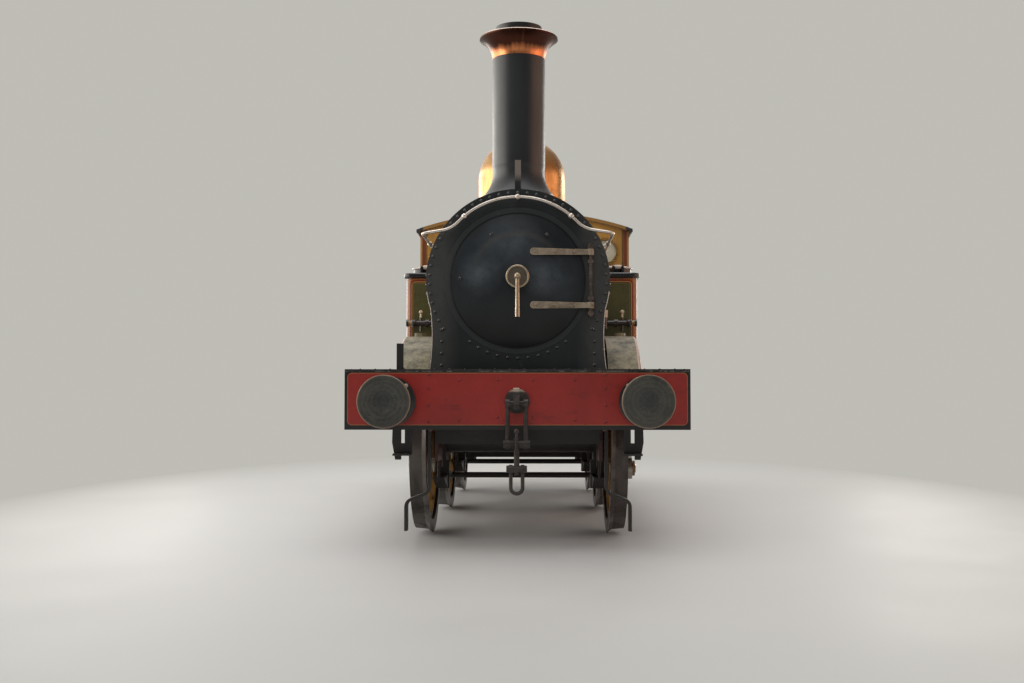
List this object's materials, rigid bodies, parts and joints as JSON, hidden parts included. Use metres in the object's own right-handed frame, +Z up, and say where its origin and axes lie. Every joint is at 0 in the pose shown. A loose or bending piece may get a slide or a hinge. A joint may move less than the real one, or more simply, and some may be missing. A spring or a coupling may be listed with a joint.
{
  "type": "steam locomotive",
  "caption": "Six-coupled side tank steam locomotive with inside cylinders, a tall capped chimney, dome, side tanks, cab and coal bunker.",
  "frame": {"origin": "centre of the engine's box at the tips of the wheel flanges", "axes": "+Y runs from the smokebox to the bunker, +X is to the right of someone who faces the smokebox door, +Z up"},
  "size_m": [2.39, 8.2, 3.8679],
  "materials": {
    "black_paint": "satin",
    "red_paint": "gloss",
    "ochre_paint": "gloss",
    "olive_paint": "gloss",
    "frame_paint": "satin",
    "copper": "polished",
    "brass": "polished",
    "steel": "polished",
    "dark_iron": "matt",
    "tyre_steel": "worn",
    "glass": "clear"
  },
  "bodies": {
    "engine": {"main_frames": "frame_paint", "frame_stretchers": "frame_paint", "running_plate": "black_paint", "buffer_beams": "red_paint", "buffer_stocks": "red_paint", "buffer_heads": "dark_iron", "draw_hooks": "dark_iron", "screw_couplings": "dark_iron", "smokebox": "black_paint", "smokebox_front": "black_paint", "door_hinge": "steel", "chimney": "black_paint", "chimney_cap": "copper", "boiler_barrel": "ochre_paint", "firebox": "ochre_paint", "ashpan": "black_paint", "cylinder_block": "dark_iron", "dome": "brass", "safety_valves": "brass", "tank_right": "olive_paint", "tank_left": "olive_paint", "cab_front": "ochre_paint", "cab_side_right": "ochre_paint", "cab_side_left": "ochre_paint", "cab_back": "ochre_paint", "cab_roof": "black_paint", "coal_bunker": "ochre_paint", "window_panes": "glass", "window_rims": "brass", "front_splashers": "ochre_paint", "cab_splashers": "ochre_paint", "handrails": "steel", "cab_handrails": "steel", "cab_controls": "dark_iron", "cab_steps": "black_paint", "front_steps": "black_paint", "guard_irons": "black_paint", "brake_gear": "dark_iron", "axle_boxes_and_springs": "dark_iron", "feed_pipes": "dark_iron", "lamp_irons": "black_paint", "backhead_fittings": "brass"},
    "leading_wheelset": {"leading_wheels": "ochre_paint", "leading_axle": "dark_iron", "leading_tyres": "tyre_steel"},
    "driving_wheelset": {"driving_wheels": "ochre_paint", "driving_axle": "dark_iron", "driving_tyres": "tyre_steel"},
    "trailing_wheelset": {"trailing_wheels": "ochre_paint", "trailing_axle": "dark_iron", "trailing_tyres": "tyre_steel"},
    "rod_right": {"coupling_rod_right": "steel"},
    "rod_left": {"coupling_rod_left": "steel"},
    "smokebox_door": {"smokebox_door": "black_paint", "door_straps": "steel", "door_handles": "steel"},
    "filler_lid_right": {"filler_lid_right": "black_paint"},
    "filler_lid_left": {"filler_lid_left": "black_paint"},
    "firehole_door": {"firehole_door": "dark_iron"}
  },
  "joints": [
    {"name": "leading_axle", "type": "hinge", "parent": "engine", "child": "leading_wheelset", "pos_m": [0, -2.4, 0.714], "axis": [1, 0, 0], "continuous": true},
    {"name": "driving_axle", "type": "hinge", "parent": "engine", "child": "driving_wheelset", "pos_m": [0, -0.35, 0.714], "axis": [1, 0, 0], "continuous": true},
    {"name": "trailing_axle", "type": "hinge", "parent": "engine", "child": "trailing_wheelset", "pos_m": [0, 1.7, 0.714], "axis": [1, 0, 0], "continuous": true},
    {"name": "crankpin_right", "type": "hinge", "parent": "driving_wheelset", "child": "rod_right", "pos_m": [0.849, -0.54799, 0.51601], "axis": [1, 0, 0], "continuous": true},
    {"name": "crankpin_left", "type": "hinge", "parent": "driving_wheelset", "child": "rod_left", "pos_m": [-0.849, -0.15201, 0.51601], "axis": [1, 0, 0], "continuous": true},
    {"name": "smokebox_door_hinge", "type": "hinge", "parent": "engine", "child": "smokebox_door", "pos_m": [0.524, -3.326, 1.908], "axis": [0, 0, 1], "range_deg": [0, 110]},
    {"name": "filler_lid_right_hinge", "type": "hinge", "parent": "engine", "child": "filler_lid_right", "pos_m": [0.86, -1.156, 2.222], "axis": [1, 0, 0], "range_deg": [0, 100]},
    {"name": "filler_lid_left_hinge", "type": "hinge", "parent": "engine", "child": "filler_lid_left", "pos_m": [-0.86, -1.156, 2.222], "axis": [1, 0, 0], "range_deg": [0, 100]},
    {"name": "firehole_door_hinge", "type": "hinge", "parent": "engine", "child": "firehole_door", "pos_m": [-0.215, 1.22, 1.588], "axis": [0, 0, 1], "range_deg": [0, 100]}
  ],
  "couplings": [
    {"joint": "leading_axle", "follows": "driving_axle", "ratio": 1},
    {"joint": "trailing_axle", "follows": "driving_axle", "ratio": 1},
    {"joint": "crankpin_right", "follows": "driving_axle", "ratio": -1},
    {"joint": "crankpin_left", "follows": "driving_axle", "ratio": -1}
  ]
}
